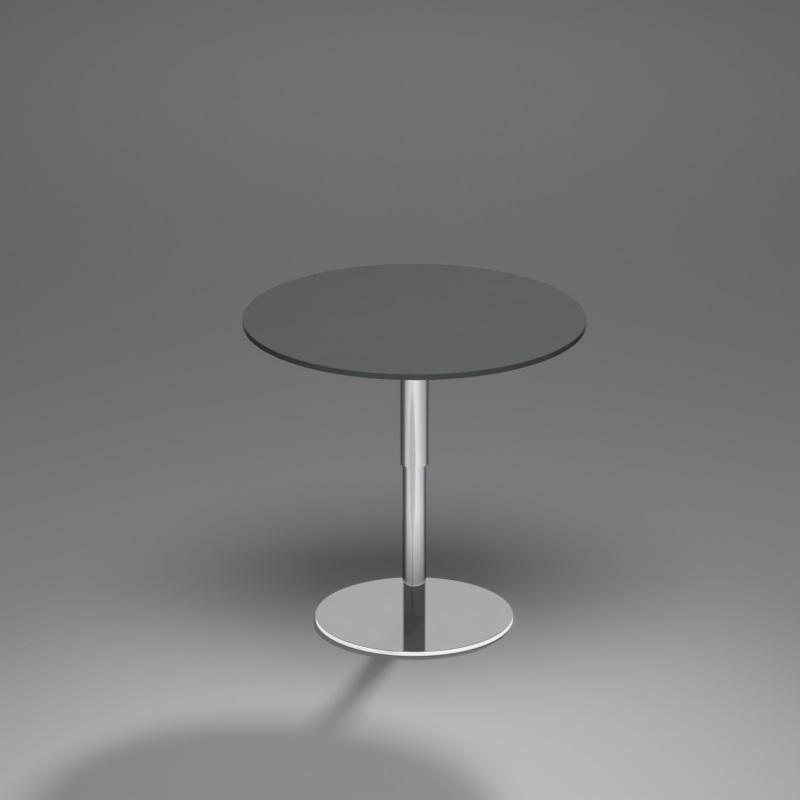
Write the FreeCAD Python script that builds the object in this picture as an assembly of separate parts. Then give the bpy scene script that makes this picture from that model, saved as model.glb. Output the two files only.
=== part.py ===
import FreeCAD, Part
import math
import os
from FreeCAD import Vector

# Telescoping pedestal table: a round top on a column of two tubes, lifted by a lockable gas spring.
# Lengths are in millimetres. The origin is on the floor under the middle of the base, and +Z is up.
# The table stands part way up its travel, and the hand lever under the top points along +X.

# Table top
top_diameter = 700.0
top_thickness = 12.0
top_edge_radius = 1.5

# Base plate, with a shallow recess that centres the lower tube
base_diameter = 410.0
base_thickness = 10.0
base_edge_radius = 1.0
tube_recess = 1.5

# Floor glides, pressed into the underside of the base plate
glide_count = 8
glide_diameter = 24.0
glide_height = 2.0
glide_inset = 20.0
glide_edge_bevel = 0.6
glide_spigot_diameter = 8.0
glide_spigot_length = 4.0

# Column tubes; the two bushes fill the gap between them
lower_tube_diameter = 50.0
lower_tube_wall = 2.0
upper_tube_wall = 2.0
guide_gap = 3.0
lower_tube_shown = 334.0
upper_tube_shown = 299.0
tube_edge_bevel = 0.6

# Travel of the top from the height that is modelled
lift_up = 55.0
lift_down = 125.0

# Clearances, each on one side
press_fit = 0.02
seat_fit = 0.05
running_fit = 0.04
guide_fit = 0.1
free_fit = 0.4

# Foot of the lower tube
foot_plug_length = 30.0
foot_plug_chamfer = 2.0
base_screw_count = 4
base_screw_diameter = 8.0
base_screw_head = 15.0
base_screw_length = 25.0
base_screw_socket = 5.0
base_screw_circle = 28.0
screw_set_in = 0.3

# Head of the lower tube
bush_lip = 2.0
bush_recess = 1.5
bush_parting = 2.5
bush_edge_bevel = 0.8
plug_flange = 2.5
plug_web = 8.0
plug_wall = 2.5
buffer_height = 4.0
buffer_gap = 0.5
buffer_edge_bevel = 1.0

# Gas spring
cylinder_diameter = 28.0
cylinder_wall = 1.5
cylinder_floor = 3.0
cylinder_lip = 1.5
cylinder_lip_width = 3.0
cylinder_foot_radius = 3.0
cylinder_head_gap = 4.0
gas_reserve = 55.0
rod_diameter = 10.0
rod_guide_length = 14.0
rod_seal_length = 8.5
piston_length = 18.0
piston_margin = 3.0
piston_groove_depth = 2.0
piston_seal_height = 4.0
valve_chamber = 6.0
valve_head_diameter = 6.0
valve_head_height = 2.5
pin_diameter = 4.0
pin_tip_bevel = 1.0
ring_nut_height = 6.0
ring_nut_setback = 2.0
ring_nut_slots = 4
ring_nut_slot_width = 5.0
washer_thickness = 1.5
centring_ring_height = 12.0

# Head under the top
plate_diameter = 280.0
plate_thickness = 6.0
plate_edge_bevel = 1.0
plate_groove = 1.5
rod_seat_thickness = 10.0
rod_nut_flats = 17.0
rod_nut_height = 5.0
rod_proud = 1.0
pin_travel = 2.5
pin_spare = 1.5
seat_screw_count = 3
seat_screw_diameter = 5.0
seat_screw_head = 9.5
seat_screw_hold = 8.0
seat_screw_socket = 3.0
seat_spacer_wall = 1.6
seat_edge = 9.0

# Screws between the mounting plate and the top
top_screw_count = 6
top_screw_diameter = 6.0
top_screw_head = 10.5
top_screw_head_height = 3.3
top_screw_end_gap = 1.5
top_screw_socket = 4.0
top_screw_inset = 20.0
insert_diameter = 9.0
insert_cover = 3.0
insert_end_gap = 0.5

# Hand lever and its bearing
lever_width = 14.0
lever_thickness = 5.0
lever_gap = 0.2
lever_reach = 285.0
lever_bend_start = 20.0
lever_bend_run = 34.0
lever_bend_radius = 22.0
lever_hub_wall = 2.5
lever_side_gap = 0.3
lever_slot_gap = 1.5
pivot_diameter = 6.0
pivot_head_rim = 1.5
pivot_head_height = 2.0
pivot_gap = 0.3
pivot_tail = 3.4
clip_thickness = 0.8
clip_mouth = 3.6
clip_groove_depth = 0.8
clip_setback = 1.0
bracket_sheet = 2.5
bracket_length = 26.0
bracket_tube_gap = 3.0
bracket_foot = 14.0
bracket_bend_radius = 1.0
bracket_corner_radius = 6.0
bracket_below_pivot = 7.0
bracket_screw_spacing = 14.0
bracket_screw_diameter = 4.0
bracket_screw_head = 7.0
bracket_screw_head_height = 2.2
bracket_screw_end_gap = 1.5
bracket_screw_socket = 2.5
finger_room = 7.0
grip_length = 92.0
grip_overhang = 8.0
grip_width = 23.0
grip_height = 14.0
grip_belly = 26.0
grip_neck_width = 18.0
grip_neck_height = 11.0
grip_tip_width = 20.0
grip_tip_height = 12.0
grip_roundness = 0.45
grip_end_radius = 2.0

# Heights, from the floor upwards
base_under = glide_height
base_top = base_under + base_thickness
tube_foot = base_top - tube_recess
upper_tube_foot = base_top + lower_tube_shown
plate_under = upper_tube_foot + upper_tube_shown
plate_top = plate_under + plate_thickness
table_height = plate_top + top_thickness

# Heights of the head, from the mounting plate downwards
pivot_radius = pivot_diameter / 2
pivot_head_radius = pivot_radius + pivot_head_rim
lever_hub_radius = pivot_radius + lever_hub_wall
pivot_room = max(lever_hub_radius, bracket_sheet + bracket_bend_radius + pivot_head_radius)
lever_level = plate_under - pivot_gap - pivot_room
pin_top = lever_level - lever_thickness / 2 - lever_gap
rod_top = pin_top - pin_travel - pin_spare
seat_top = rod_top - rod_proud
seat_under = seat_top - rod_seat_thickness
plug_top = seat_under - lift_down - buffer_gap - buffer_height
flange_under = plug_top - plug_flange
lower_tube_top = flange_under - bush_lip

# Heights of the gas spring
cylinder_top = seat_under - lift_down - rod_nut_height - cylinder_head_gap
upper_nut_under = cylinder_top - ring_nut_setback - ring_nut_height
web_top = upper_nut_under - washer_thickness
web_under = web_top - plug_web
lower_nut_top = web_under - washer_thickness
guide_top = cylinder_top - cylinder_lip
guide_under = guide_top - rod_guide_length
seal_under = guide_under - rod_seal_length
piston_top = seal_under - piston_margin - lift_up
piston_under = piston_top - piston_length
rod_foot = piston_under + valve_chamber
chamber_floor = piston_under - lift_down - gas_reserve
cylinder_foot = chamber_floor - cylinder_floor

# Radii
lower_tube_radius = lower_tube_diameter / 2
lower_tube_bore = lower_tube_radius - lower_tube_wall
upper_tube_bore = lower_tube_radius + guide_gap
upper_tube_radius = upper_tube_bore + upper_tube_wall
plug_radius = lower_tube_bore - seat_fit
cylinder_radius = cylinder_diameter / 2
cylinder_bore = cylinder_radius - cylinder_wall
counterbore = plug_radius - plug_wall
ring_nut_radius = counterbore - free_fit
rod_radius = rod_diameter / 2
pin_radius = pin_diameter / 2
seat_radius = upper_tube_bore - guide_fit

# The two bushes part by this much when the top is fully up
guide_overlap = lower_tube_top - upper_tube_foot - lift_up
bush_length = (guide_overlap - bush_recess - bush_parting) / 2

# Lengths of the screws and the inserts
seat_screw_length = plate_top - screw_set_in - seat_top + seat_screw_hold
insert_length = top_thickness - insert_cover - insert_end_gap
top_screw_length = plate_thickness + insert_length - top_screw_end_gap
bracket_screw_length = bracket_sheet + plate_thickness - bracket_screw_end_gap

# Lever; its grip ends clear of the top when it is fully lifted
lever_pivot = upper_tube_radius + bracket_tube_gap + bracket_length / 2
lever_swing = math.degrees(pin_travel / lever_pivot)
grip_end = lever_reach + grip_overhang
grip_rise = (grip_end - lever_pivot) * pin_travel / lever_pivot
grip_level = plate_top - finger_room - grip_rise - grip_height / 2
ear_inside = lever_width / 2 + lever_side_gap
ear_outside = ear_inside + bracket_sheet

ORIGIN = Vector(0, 0, 0)
UP = Vector(0, 0, 1)
ALONG_X = Vector(1, 0, 0)
FULL_TURN = 360.0
HEX_SIDES = 6


def outline(corners):
    """Closed wire in the XZ plane through (x, z) corners; a third number rounds that corner."""
    points = [Vector(corner[0], 0, corner[1]) for corner in corners]
    radii = [corner[2] if len(corner) > 2 else 0.0 for corner in corners]
    count = len(points)
    arrivals, departures, arcs = [], [], []
    for i, point in enumerate(points):
        back = (points[i - 1] - point).normalize()
        ahead = (points[(i + 1) % count] - point).normalize()
        half_angle = back.getAngle(ahead) / 2
        setback = radii[i] / math.tan(half_angle)
        arrivals.append(point + back * setback)
        departures.append(point + ahead * setback)
        inward = (back + ahead).normalize() if radii[i] else Vector(0, 0, 0)
        apex = point + inward * (radii[i] / math.sin(half_angle) - radii[i])
        arcs.append(Part.Arc(arrivals[i], apex, departures[i]).toShape() if radii[i] else None)
    edges = []
    for i in range(count):
        if arcs[i]:
            edges.append(arcs[i])
        edges.append(Part.LineSegment(departures[i], arrivals[(i + 1) % count]).toShape())
    return Part.Wire(edges)


def turned(corners):
    """Solid of revolution about the column's axis, from (radius, height) corners."""
    return Part.Face(outline(corners)).revolve(ORIGIN, UP, FULL_TURN)


def ring(inner, outer, low, high, bevel=0.0):
    """Plain ring about the column's axis; a bevel is cut on its two outer edges."""
    if not bevel:
        return turned([(inner, low), (outer, low), (outer, high), (inner, high)])
    foot = [(outer - bevel, low), (outer, low + bevel)]
    head = [(outer, high - bevel), (outer - bevel, high)]
    return turned([(inner, low)] + foot + head + [(inner, high)])


def rod(radius, low, high):
    """Plain upright cylinder on the column's axis."""
    return Part.makeCylinder(radius, high - low, Vector(0, 0, low))


def slab(corners, width):
    """XZ outline made a plate that lies evenly about the XZ plane."""
    plate = Part.Face(outline(corners)).extrude(Vector(0, width, 0))
    return plate.translated(Vector(0, -width / 2, 0))


def box(low, high):
    """Box between two corners."""
    size = Vector(*high) - Vector(*low)
    return Part.makeBox(size.x, size.y, size.z, Vector(*low))


def hexagon(across_flats, low, high):
    """Upright hexagonal prism on the column's axis."""
    radius = across_flats / math.sqrt(3)
    corner = Vector(radius, 0, low)
    turn = FreeCAD.Rotation(UP, FULL_TURN / HEX_SIDES)
    corners = [corner]
    for _ in range(HEX_SIDES):
        corner = turn.multVec(corner)
        corners.append(corner)
    return Part.Face(Part.makePolygon(corners)).extrude(Vector(0, 0, high - low))


def around(shape, distance, count, first_angle=0.0):
    """Copies of a shape that stands on the column's axis, moved out and spaced evenly round it."""
    moved = shape.translated(Vector(distance, 0, 0))
    spacing = FULL_TURN / count
    return [moved.rotated(ORIGIN, UP, first_angle + spacing * i) for i in range(count)]


def along_y(shape):
    """Turns a shape from the upright axis to the Y axis."""
    return shape.rotated(ORIGIN, ALONG_X, -90)


def countersunk_form(diameter, head, length, margin=0.0):
    """Countersunk screw without its socket, head at height 0, shank up; a margin makes it a hole."""
    shank = diameter / 2 + margin
    rim = head / 2 + margin
    cone = rim - shank
    return turned([(0, 0), (rim, 0), (shank, cone), (shank, length), (0, length)])


def countersunk_screw(diameter, head, length, socket):
    """Countersunk screw with a hexagon socket, head at height 0, shank up."""
    depth = (head - diameter) / 2
    return countersunk_form(diameter, head, length).cut(hexagon(socket, 0, depth))


def button_screw(diameter, head, head_height, length, socket):
    """Round-headed screw with a hexagon socket, head below height 0, shank up."""
    crown = head_height / 2
    form = turned(
        [
            (0, -head_height),
            (head / 2 - crown, -head_height),
            (head / 2, -head_height + crown),
            (head / 2, 0),
            (diameter / 2, 0),
            (diameter / 2, length),
            (0, length),
        ]
    )
    return form.cut(hexagon(socket, -head_height, -head_height / 2))


def table_top():
    """Round board with blind holes for the threaded inserts."""
    radius = top_diameter / 2
    board = turned(
        [
            (0, plate_top),
            (radius, plate_top, top_edge_radius),
            (radius, table_height, top_edge_radius),
            (0, table_height),
        ]
    )
    hole_end = plate_top + insert_length + insert_end_gap
    hole = rod(insert_diameter / 2 + press_fit, plate_top, hole_end)
    return board.cut(top_screw_places(hole))


def top_screw_places(shape):
    """Copies of a shape at the screws between the mounting plate and the top, clear of the lever."""
    half_spacing = FULL_TURN / top_screw_count / 2
    return around(shape, plate_diameter / 2 - top_screw_inset, top_screw_count, half_spacing)


def top_inserts():
    """Threaded inserts in the underside of the top."""
    bore = top_screw_diameter / 2 + press_fit
    insert = ring(bore, insert_diameter / 2, plate_top, plate_top + insert_length)
    return top_screw_places(insert)


def top_screws():
    """Screws up through the mounting plate into the inserts."""
    screw = button_screw(
        top_screw_diameter, top_screw_head, top_screw_head_height, top_screw_length, top_screw_socket
    )
    return top_screw_places(screw.translated(Vector(0, 0, plate_under)))


def base_plate():
    """Round steel plate with the tube's recess, the countersunk holes and the glides' holes."""
    radius = base_diameter / 2
    recess = lower_tube_radius + seat_fit
    plate = turned(
        [
            (0, base_under),
            (radius, base_under, base_edge_radius),
            (radius, base_top, base_edge_radius),
            (recess, base_top),
            (recess, tube_foot),
            (0, tube_foot),
        ]
    )
    screw_hole = countersunk_form(
        base_screw_diameter, base_screw_head, base_thickness, screw_set_in
    ).translated(Vector(0, 0, base_under))
    glide_hole = rod(
        glide_spigot_diameter / 2 + press_fit, base_under, base_under + glide_spigot_length + free_fit
    )
    return plate.cut(base_screw_places(screw_hole) + glide_places(glide_hole))


def base_screw_places(shape):
    """Copies of a shape at the screws in the foot of the column."""
    return around(shape, base_screw_circle / 2, base_screw_count)


def glide_places(shape):
    """Copies of a shape at the floor glides."""
    return around(shape, base_diameter / 2 - glide_inset, glide_count, FULL_TURN / glide_count / 2)


def floor_glides():
    """Flat round glides, each with a spigot in the base plate."""
    glide = turned(
        [
            (0, 0),
            (glide_diameter / 2 - glide_edge_bevel, 0),
            (glide_diameter / 2, glide_edge_bevel),
            (glide_diameter / 2, base_under),
            (glide_spigot_diameter / 2, base_under),
            (glide_spigot_diameter / 2, base_under + glide_spigot_length),
            (0, base_under + glide_spigot_length),
        ]
    )
    return glide_places(glide)


def base_screws():
    """Countersunk screws up through the base plate into the foot plug."""
    screw = countersunk_screw(base_screw_diameter, base_screw_head, base_screw_length, base_screw_socket)
    return base_screw_places(screw.translated(Vector(0, 0, base_under + screw_set_in)))


def foot_plug():
    """Threaded steel plug in the foot of the lower tube."""
    top = tube_foot + foot_plug_length
    plug = turned(
        [
            (0, tube_foot),
            (plug_radius, tube_foot),
            (plug_radius, top - foot_plug_chamfer),
            (plug_radius - foot_plug_chamfer, top),
            (0, top),
        ]
    )
    thread = rod(base_screw_diameter / 2 + press_fit, tube_foot, top)
    return plug.cut(base_screw_places(thread))


def lower_tube():
    """Polished inner tube, from the base plate's recess to the bearing plug."""
    return ring(lower_tube_bore, lower_tube_radius, tube_foot, lower_tube_top, tube_edge_bevel)


def upper_bush():
    """Guide sleeve on the head of the lower tube, hung on a lip that the bearing plug clamps."""
    inner = lower_tube_radius + seat_fit
    outer = upper_tube_bore - guide_fit
    foot = lower_tube_top - bush_length
    return turned(
        [
            (inner, foot),
            (outer - bush_edge_bevel, foot),
            (outer, foot + bush_edge_bevel),
            (outer, flange_under - bush_edge_bevel),
            (outer - bush_edge_bevel, flange_under),
            (plug_radius + seat_fit, flange_under),
            (plug_radius + seat_fit, lower_tube_top),
            (inner, lower_tube_top),
        ]
    )


def bearing_plug():
    """Flanged plug in the head of the lower tube; its web carries the gas spring."""
    bore = cylinder_radius + free_fit
    flange = lower_tube_radius + guide_gap / 2
    return turned(
        [
            (bore, web_under),
            (plug_radius, web_under),
            (plug_radius, flange_under),
            (flange, flange_under),
            (flange, plug_top),
            (counterbore, plug_top),
            (counterbore, web_top),
            (bore, web_top),
        ]
    )


def swivel_washers():
    """Thrust washers above and below the plug's web, on which the gas spring turns."""
    inner = cylinder_radius + free_fit
    return [
        ring(inner, ring_nut_radius, web_top, upper_nut_under),
        ring(inner, ring_nut_radius, lower_nut_top, web_under),
    ]


def ring_nuts():
    """Slotted nuts on the cylinder's neck, either side of the web."""
    slot_floor = (cylinder_radius + ring_nut_radius) / 2
    slot = box(
        (slot_floor, -ring_nut_slot_width / 2, 0),
        (counterbore, ring_nut_slot_width / 2, ring_nut_height),
    )
    nut = ring(cylinder_radius + press_fit, ring_nut_radius, 0, ring_nut_height)
    nut = nut.cut(around(slot, 0, ring_nut_slots))
    lower_nut_under = lower_nut_top - ring_nut_height
    return [nut.translated(Vector(0, 0, level)) for level in (upper_nut_under, lower_nut_under)]


def end_buffer():
    """Rubber ring on the bearing plug, on which the top lands at its lowest."""
    top = plug_top + buffer_height
    return turned(
        [
            (counterbore, plug_top),
            (lower_tube_radius, plug_top),
            (lower_tube_radius, top - buffer_edge_bevel),
            (lower_tube_radius - buffer_edge_bevel, top),
            (counterbore + buffer_edge_bevel, top),
            (counterbore, top - buffer_edge_bevel),
        ]
    )


def gas_cylinder():
    """Pressure tube, closed at its foot and rolled over the rod guide at its head."""
    lip = cylinder_bore - cylinder_lip_width
    return turned(
        [
            (0, cylinder_foot),
            (cylinder_radius, cylinder_foot, cylinder_foot_radius),
            (cylinder_radius, cylinder_top, cylinder_lip),
            (lip, cylinder_top),
            (lip, guide_top),
            (cylinder_bore, guide_top),
            (cylinder_bore, chamber_floor),
            (0, chamber_floor),
        ]
    )


def rod_guide():
    """Guide of the piston rod, under the cylinder's rolled lip."""
    return ring(rod_radius + running_fit, cylinder_bore - press_fit, guide_under, guide_top)


def rod_seal():
    """Lip seal of the piston rod, under the guide."""
    return ring(rod_radius + running_fit, cylinder_bore - press_fit, seal_under, guide_under)


def centring_ring():
    """Ring that centres the foot of the gas spring in the lower tube."""
    low = cylinder_foot + cylinder_foot_radius
    return ring(
        cylinder_radius + press_fit, lower_tube_bore - free_fit, low, low + centring_ring_height
    )


def piston_rod():
    """Hollow rod from the piston to the rod seat."""
    return ring(pin_radius + running_fit, rod_radius, rod_foot, rod_top)


def piston():
    """Piston with a groove for its seal and a valve chamber under the rod."""
    outer = cylinder_bore - guide_fit
    groove = outer - piston_groove_depth
    middle = (piston_under + piston_top) / 2
    groove_low = middle - piston_seal_height / 2
    groove_high = middle + piston_seal_height / 2
    chamber = valve_head_diameter / 2 + free_fit
    rod_bore = rod_radius + press_fit
    return turned(
        [
            (chamber, piston_under),
            (outer, piston_under),
            (outer, groove_low),
            (groove, groove_low),
            (groove, groove_high),
            (outer, groove_high),
            (outer, piston_top),
            (rod_bore, piston_top),
            (rod_bore, rod_foot),
            (chamber, rod_foot),
        ]
    )


def piston_seal():
    """Sealing ring in the piston's groove."""
    inner = cylinder_bore - guide_fit - piston_groove_depth + press_fit
    middle = (piston_under + piston_top) / 2
    half_height = piston_seal_height / 2 - press_fit
    return ring(inner, cylinder_bore - running_fit, middle - half_height, middle + half_height)


def release_pin():
    """Push rod through the hollow piston rod, with the valve's head at its foot."""
    head_top = rod_foot - lever_gap
    head_under = head_top - valve_head_height
    head = valve_head_diameter / 2
    return turned(
        [
            (0, head_under),
            (head, head_under),
            (head, head_top),
            (pin_radius, head_top),
            (pin_radius, pin_top - pin_tip_bevel),
            (pin_radius - pin_tip_bevel, pin_top),
            (0, pin_top),
        ]
    )


def mounting_plate():
    """Round plate under the top, with a groove for the upper tube and all its screw holes."""
    radius = plate_diameter / 2
    plate = turned(
        [
            (0, plate_under),
            (upper_tube_bore - seat_fit, plate_under),
            (upper_tube_bore - seat_fit, plate_under + plate_groove),
            (upper_tube_radius + seat_fit, plate_under + plate_groove),
            (upper_tube_radius + seat_fit, plate_under),
            (radius - plate_edge_bevel, plate_under),
            (radius, plate_under + plate_edge_bevel),
            (radius, plate_top - plate_edge_bevel),
            (radius - plate_edge_bevel, plate_top),
            (0, plate_top),
        ]
    )
    top_hole = rod(top_screw_diameter / 2 + free_fit, plate_under, plate_top)
    seat_hole = countersunk_form(seat_screw_diameter, seat_screw_head, plate_thickness, screw_set_in)
    seat_hole = seat_hole.rotated(ORIGIN, ALONG_X, 180).translated(Vector(0, 0, plate_top))
    bracket_hole = rod(bracket_screw_diameter / 2 + press_fit, plate_under, plate_top)
    holes = top_screw_places(top_hole) + seat_places(seat_hole) + bracket_screw_places(bracket_hole)
    return plate.cut(holes)


def seat_places(shape):
    """Copies of a shape at the screws of the rod seat, with the lever's way left clear."""
    return around(shape, seat_radius - seat_edge, seat_screw_count, FULL_TURN / seat_screw_count / 2)


def rod_seat():
    """Disc in the head of the upper tube that holds the rod, hung from the mounting plate."""
    disc = ring(rod_radius + press_fit, seat_radius, seat_under, seat_top)
    thread = rod(seat_screw_diameter / 2 + press_fit, seat_under, seat_top)
    return disc.cut(seat_places(thread))


def seat_spacers():
    """Sleeves between the rod seat and the mounting plate, beside the lever."""
    inner = seat_screw_diameter / 2 + guide_fit
    return seat_places(ring(inner, inner + seat_spacer_wall, seat_top, plate_under))


def seat_screws():
    """Countersunk screws down through the mounting plate and the spacers into the rod seat."""
    screw = countersunk_screw(seat_screw_diameter, seat_screw_head, seat_screw_length, seat_screw_socket)
    screw = screw.rotated(ORIGIN, ALONG_X, 180)
    return seat_places(screw.translated(Vector(0, 0, plate_top - screw_set_in)))


def rod_nut():
    """Thin nut that locks the rod under its seat."""
    nut = hexagon(rod_nut_flats, seat_under - rod_nut_height, seat_under)
    return nut.cut(rod(rod_radius + press_fit, seat_under - rod_nut_height, seat_under))


def upper_tube():
    """Polished outer tube, let into the mounting plate, with a slot for the lever at its head."""
    top = plate_under + plate_groove
    tube = ring(upper_tube_bore, upper_tube_radius, upper_tube_foot, top, tube_edge_bevel)
    half_width = lever_width / 2 + lever_slot_gap
    sill = pin_top - pin_travel
    slot = box((0, -half_width, sill), (upper_tube_radius + free_fit, half_width, top))
    return tube.cut(slot)


def lower_bush():
    """Guide sleeve in the foot of the upper tube."""
    low = upper_tube_foot + bush_recess
    high = low + bush_length
    inner = lower_tube_radius + guide_fit
    outer = upper_tube_bore - press_fit
    return turned(
        [
            (inner, low + bush_edge_bevel),
            (inner + bush_edge_bevel, low),
            (outer, low),
            (outer, high),
            (inner + bush_edge_bevel, high),
            (inner, high - bush_edge_bevel),
        ]
    )


def release_lever():
    """Flat lever from the release pin out to the grip, stepped down past the mounting plate."""
    half = lever_thickness / 2
    bend_x = lever_pivot + lever_bend_start
    step_x = bend_x + lever_bend_run
    slope = math.atan2(lever_level - grip_level, lever_bend_run)
    mitre = half * math.tan(slope / 2)
    inside, outside = lever_bend_radius - half, lever_bend_radius + half
    bar = slab(
        [
            (0, lever_level - half),
            (bend_x - mitre, lever_level - half, inside),
            (step_x - mitre, grip_level - half, outside),
            (lever_reach, grip_level - half),
            (lever_reach, grip_level + half),
            (step_x + mitre, grip_level + half, inside),
            (bend_x + mitre, lever_level + half, outside),
            (0, lever_level + half),
        ],
        lever_width,
    )
    nose = rod(lever_width / 2, lever_level - half, lever_level + half)
    hub = pivot_form(rod(lever_hub_radius, -lever_width / 2, lever_width / 2))
    bore = pivot_form(rod(pivot_radius + running_fit, -lever_width, lever_width))
    return bar.fuse([nose, hub]).cut(bore).removeSplitter()


def pivot_form(shape):
    """Moves an upright shape on the column's axis to the lever's pivot, along Y."""
    return along_y(shape).translated(Vector(lever_pivot, 0, lever_level))


def grip_section(x, width, height):
    """Rounded rectangle across the lever at one place along it."""
    corner = height * grip_roundness
    half_width, half_height = width / 2, height / 2
    wire = outline(
        [
            (-half_width, -half_height, corner),
            (half_width, -half_height, corner),
            (half_width, half_height, corner),
            (-half_width, half_height, corner),
        ]
    )
    return wire.rotated(ORIGIN, UP, 90).translated(Vector(x, 0, grip_level))


def lever_grip():
    """Moulded grip pushed over the end of the lever, narrower at its neck."""
    start = grip_end - grip_length
    sections = [
        grip_section(start, grip_neck_width, grip_neck_height),
        grip_section(grip_end - grip_belly, grip_width, grip_height),
        grip_section(grip_end, grip_tip_width, grip_tip_height),
    ]
    body = Part.makeLoft(sections, True)
    half_width = lever_width / 2 + press_fit
    half_height = lever_thickness / 2 + press_fit
    pocket = box(
        (start - free_fit, -half_width, grip_level - half_height),
        (lever_reach + press_fit, half_width, grip_level + half_height),
    )
    end_edges = [edge for edge in body.Edges if abs(edge.BoundBox.XMin - grip_end) < press_fit]
    return body.makeFillet(grip_end_radius, end_edges).cut(pocket)


def lever_brackets():
    """Two bent ears under the mounting plate that hold the pivot pin."""
    inner_corner = bracket_bend_radius
    outer_corner = bracket_bend_radius + bracket_sheet
    bottom = lever_level - bracket_below_pivot
    foot_end = ear_outside + bracket_foot
    section = outline(
        [
            (ear_inside, bottom),
            (ear_outside, bottom),
            (ear_outside, plate_under - bracket_sheet, inner_corner),
            (foot_end, plate_under - bracket_sheet),
            (foot_end, plate_under),
            (ear_inside, plate_under, outer_corner),
        ]
    )
    angle = Part.Face(section.rotated(ORIGIN, UP, 90)).extrude(Vector(bracket_length, 0, 0))
    angle = angle.translated(Vector(lever_pivot - bracket_length / 2, 0, 0))
    low_x, high_x = lever_pivot - bracket_length / 2, lever_pivot + bracket_length / 2
    side_view = slab(
        [
            (low_x, bottom, bracket_corner_radius),
            (high_x, bottom, bracket_corner_radius),
            (high_x, plate_under),
            (low_x, plate_under),
        ],
        2 * foot_end,
    )
    pin_hole = pivot_form(rod(pivot_radius + press_fit, 0, foot_end))
    screw_hole = rod(bracket_screw_diameter / 2 + guide_fit, bottom, plate_under)
    ear = angle.common(side_view).cut([pin_hole] + bracket_screw_places(screw_hole))
    return [ear, ear.mirror(ORIGIN, Vector(0, 1, 0))]


def bracket_screw_places(shape):
    """Copies of a shape at the screws of the two brackets."""
    y = ear_outside + bracket_foot / 2
    half = bracket_screw_spacing / 2
    places = [(lever_pivot + x, side * y) for side in (1, -1) for x in (-half, half)]
    return [shape.translated(Vector(x, y_place, 0)) for x, y_place in places]


def bracket_screws():
    """Screws that hold the brackets to the mounting plate."""
    screw = button_screw(
        bracket_screw_diameter,
        bracket_screw_head,
        bracket_screw_head_height,
        bracket_screw_length,
        bracket_screw_socket,
    )
    return bracket_screw_places(screw.translated(Vector(0, 0, plate_under - bracket_sheet)))


def pivot_pin():
    """Headed pin through the two ears and the lever, grooved for its clip."""
    head_end = -ear_outside - pivot_head_height
    groove_low = ear_outside + clip_setback
    groove_high = groove_low + clip_thickness
    groove = pivot_radius - clip_groove_depth
    tail_end = ear_outside + pivot_tail
    pin = turned(
        [
            (0, head_end),
            (pivot_head_radius, head_end),
            (pivot_head_radius, -ear_outside),
            (pivot_radius, -ear_outside),
            (pivot_radius, groove_low),
            (groove, groove_low),
            (groove, groove_high),
            (pivot_radius, groove_high),
            (pivot_radius, tail_end),
            (0, tail_end),
        ]
    )
    return pivot_form(pin)


def pin_clip():
    """Open retaining ring in the pivot pin's groove."""
    low = ear_outside + clip_setback + press_fit
    high = ear_outside + clip_setback + clip_thickness - press_fit
    clip = ring(pivot_radius - clip_groove_depth + press_fit, pivot_head_radius, low, high)
    mouth = box((0, -clip_mouth / 2, low), (pivot_head_radius, clip_mouth / 2, high))
    return pivot_form(clip.cut(mouth))


PIECES = [
    table_top,
    top_inserts,
    top_screws,
    base_plate,
    floor_glides,
    base_screws,
    foot_plug,
    lower_tube,
    upper_bush,
    bearing_plug,
    swivel_washers,
    ring_nuts,
    end_buffer,
    gas_cylinder,
    rod_guide,
    rod_seal,
    centring_ring,
    piston_rod,
    piston,
    piston_seal,
    release_pin,
    mounting_plate,
    rod_seat,
    seat_spacers,
    seat_screws,
    rod_nut,
    upper_tube,
    lower_bush,
    release_lever,
    lever_grip,
    lever_brackets,
    bracket_screws,
    pivot_pin,
    pin_clip,
]


def main():
    """Builds every piece and writes each one to its own STEP file."""
    os.makedirs("parts", exist_ok=True)
    for make_piece in PIECES:
        made = make_piece()
        shape = Part.makeCompound(made) if isinstance(made, list) else made
        shape.exportStep(os.path.join("parts", make_piece.__name__ + ".step"))
    lowest, highest = table_height - lift_down, table_height + lift_up
    print("Table height", table_height, "lowest", lowest, "highest", highest)
    print("Lever pivot at x", lever_pivot, "z", lever_level, "swing in degrees", round(lever_swing, 3))


main()
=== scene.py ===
"""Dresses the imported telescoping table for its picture.

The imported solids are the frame. Each piece that shows gets a smooth mesh with rounded edges in the
place of its solid, the pieces inside keep their solids, and all of them get a procedural finish. A
pale floor, soft light and the photograph's camera complete the scene. Lengths are in metres.
"""

import logging
import math
from collections.abc import Sequence
from dataclasses import dataclass
from enum import Enum

import bmesh
import bpy
from bpy.types import ID, Material, Mesh, Node, NodeSocket, NodeTree, Object
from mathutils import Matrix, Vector


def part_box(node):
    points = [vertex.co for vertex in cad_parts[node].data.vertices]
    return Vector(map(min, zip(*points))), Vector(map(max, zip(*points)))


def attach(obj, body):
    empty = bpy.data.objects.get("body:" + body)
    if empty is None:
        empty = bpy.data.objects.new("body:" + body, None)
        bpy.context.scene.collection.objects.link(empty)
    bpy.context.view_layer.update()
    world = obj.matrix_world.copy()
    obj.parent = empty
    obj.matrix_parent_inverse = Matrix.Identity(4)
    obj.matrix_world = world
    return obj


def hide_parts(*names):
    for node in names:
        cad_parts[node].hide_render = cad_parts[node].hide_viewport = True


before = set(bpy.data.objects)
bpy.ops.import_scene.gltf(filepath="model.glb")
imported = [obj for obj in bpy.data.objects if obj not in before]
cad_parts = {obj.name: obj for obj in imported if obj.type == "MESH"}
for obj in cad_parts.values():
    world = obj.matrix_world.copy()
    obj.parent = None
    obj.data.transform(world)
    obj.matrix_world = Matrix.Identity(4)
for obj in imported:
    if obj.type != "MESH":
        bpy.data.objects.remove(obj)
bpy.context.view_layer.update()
LOG = logging.getLogger("table")

Pair = tuple[float, float]
Triple = tuple[float, float, float]

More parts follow.
